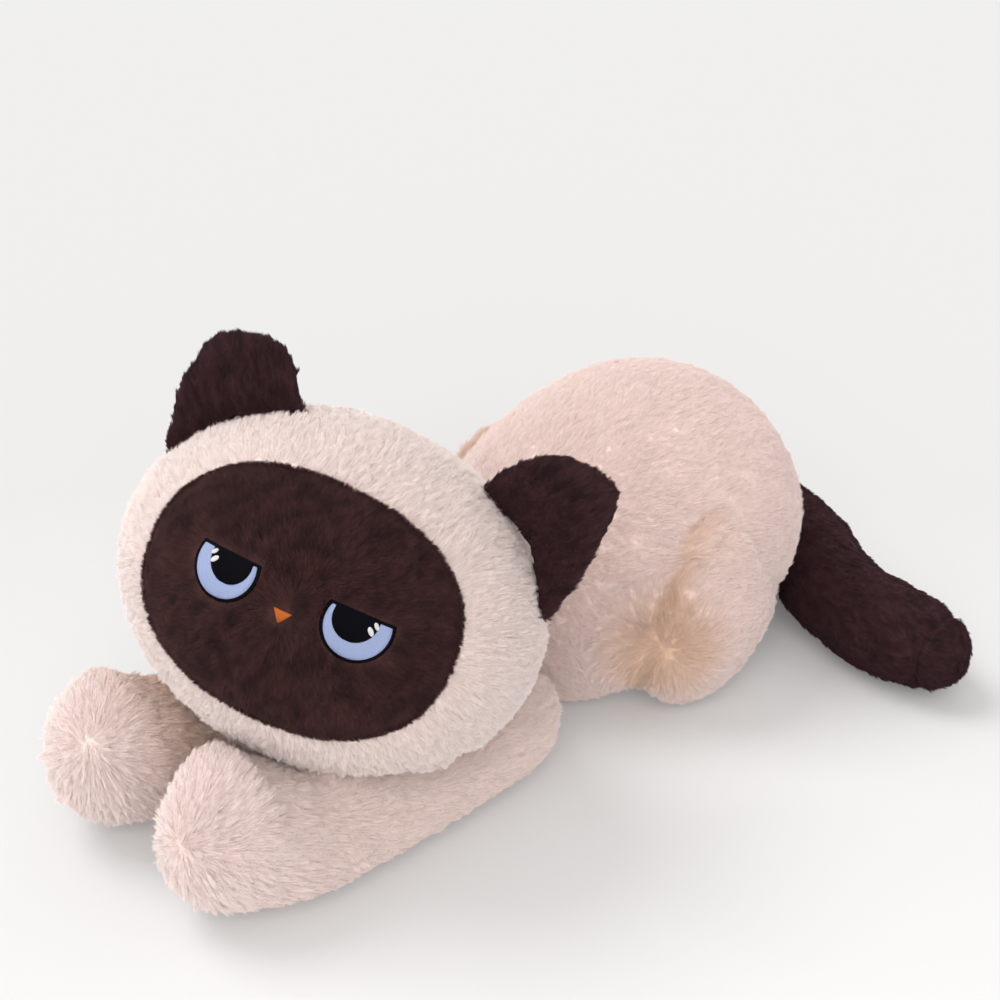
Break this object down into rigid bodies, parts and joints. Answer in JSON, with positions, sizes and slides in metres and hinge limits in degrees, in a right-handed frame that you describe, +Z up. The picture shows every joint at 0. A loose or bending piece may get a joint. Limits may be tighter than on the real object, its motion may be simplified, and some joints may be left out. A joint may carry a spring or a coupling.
{
  "type": "plush cat",
  "caption": "Plush cat lying on its belly with its chin on its forelegs, sewn from fur panels over stuffing, with embroidered eyes and a curled tail.",
  "frame": {"origin": "on the belly panel's flat rest face, on the floor and on the torso's middle plane", "axes": "+Z up from the floor, -Y the way the cat's body points (paws in front, rump behind), +X the cat's left side, where the tail tip lies"},
  "size_m": [0.3445, 0.5604, 0.2722],
  "materials": {
    "cream_fur": "short dense plush pile, matt, warm cream",
    "dark_fur": "short dense plush pile, matt, dark chocolate",
    "stuffing": "loose polyester fibre, matt white",
    "eye_blue": "satin-stitch embroidery, soft sheen",
    "eye_black": "satin-stitch embroidery, soft sheen",
    "eye_white": "satin-stitch embroidery, soft sheen",
    "nose_orange": "satin-stitch embroidery, soft sheen"
  },
  "bodies": {
    "torso": {"torso_left_panel": "cream_fur", "torso_right_panel": "cream_fur", "belly_panel": "cream_fur", "torso_stuffing": "stuffing", "hind_leg_left_upper_panel": "cream_fur", "hind_leg_left_lower_panel": "cream_fur", "hind_leg_left_stuffing": "stuffing", "hind_leg_right_upper_panel": "cream_fur", "hind_leg_right_lower_panel": "cream_fur", "hind_leg_right_stuffing": "stuffing"},
    "foreleg_left": {"foreleg_left_upper_panel": "cream_fur", "foreleg_left_lower_panel": "cream_fur", "foreleg_left_stuffing": "stuffing"},
    "foreleg_right": {"foreleg_right_upper_panel": "cream_fur", "foreleg_right_lower_panel": "cream_fur", "foreleg_right_stuffing": "stuffing"},
    "tail": {"tail_upper_panel": "dark_fur", "tail_lower_panel": "dark_fur", "tail_stuffing": "stuffing"},
    "head": {"face_panel": "dark_fur", "head_front_panel": "cream_fur", "head_back_left_panel": "cream_fur", "head_back_right_panel": "cream_fur", "head_stuffing": "stuffing", "eye_left_outline": "eye_black", "eye_left_iris": "eye_blue", "eye_left_pupil": "eye_black", "eye_left_highlight_upper": "eye_white", "eye_left_highlight_lower": "eye_white", "eye_right_outline": "eye_black", "eye_right_iris": "eye_blue", "eye_right_pupil": "eye_black", "eye_right_highlight_upper": "eye_white", "eye_right_highlight_lower": "eye_white", "nose_embroidery": "nose_orange"},
    "ear_left": {"ear_left_front_panel": "dark_fur", "ear_left_back_panel": "dark_fur", "ear_left_wadding": "stuffing"},
    "ear_right": {"ear_right_front_panel": "dark_fur", "ear_right_back_panel": "dark_fur", "ear_right_wadding": "stuffing"}
  },
  "joints": [
    {"name": "head_turn", "type": "hinge", "parent": "torso", "child": "head", "pos_m": [0, -0.075, 0.075], "axis": [0, 0, 1], "range_deg": [-12, 12], "stiffness_Nm_per_rad": 0.6},
    {"name": "foreleg_left_splay", "type": "hinge", "parent": "torso", "child": "foreleg_left", "pos_m": [0.052, -0.066, 0], "axis": [0, 0, 1], "range_deg": [0, 20], "stiffness_Nm_per_rad": 0.3},
    {"name": "foreleg_right_splay", "type": "hinge", "parent": "torso", "child": "foreleg_right", "pos_m": [-0.052, -0.066, 0], "axis": [0, 0, 1], "range_deg": [-20, 0], "stiffness_Nm_per_rad": 0.3},
    {"name": "tail_swing", "type": "hinge", "parent": "torso", "child": "tail", "pos_m": [0, 0.242, 0], "axis": [0, 0, 1], "range_deg": [0, 30], "stiffness_Nm_per_rad": 0.2},
    {"name": "ear_left_flex", "type": "hinge", "parent": "head", "child": "ear_left", "pos_m": [0.09641, -0.09366, 0.17425], "axis": [0.5985, -0.0306, -0.8005], "range_deg": [-15, 15], "stiffness_Nm_per_rad": 0.15},
    {"name": "ear_right_flex", "type": "hinge", "parent": "head", "child": "ear_right", "pos_m": [-0.04023, -0.16545, 0.22741], "axis": [-0.6557, -0.6882, -0.3105], "range_deg": [-15, 15], "stiffness_Nm_per_rad": 0.15}
  ]
}
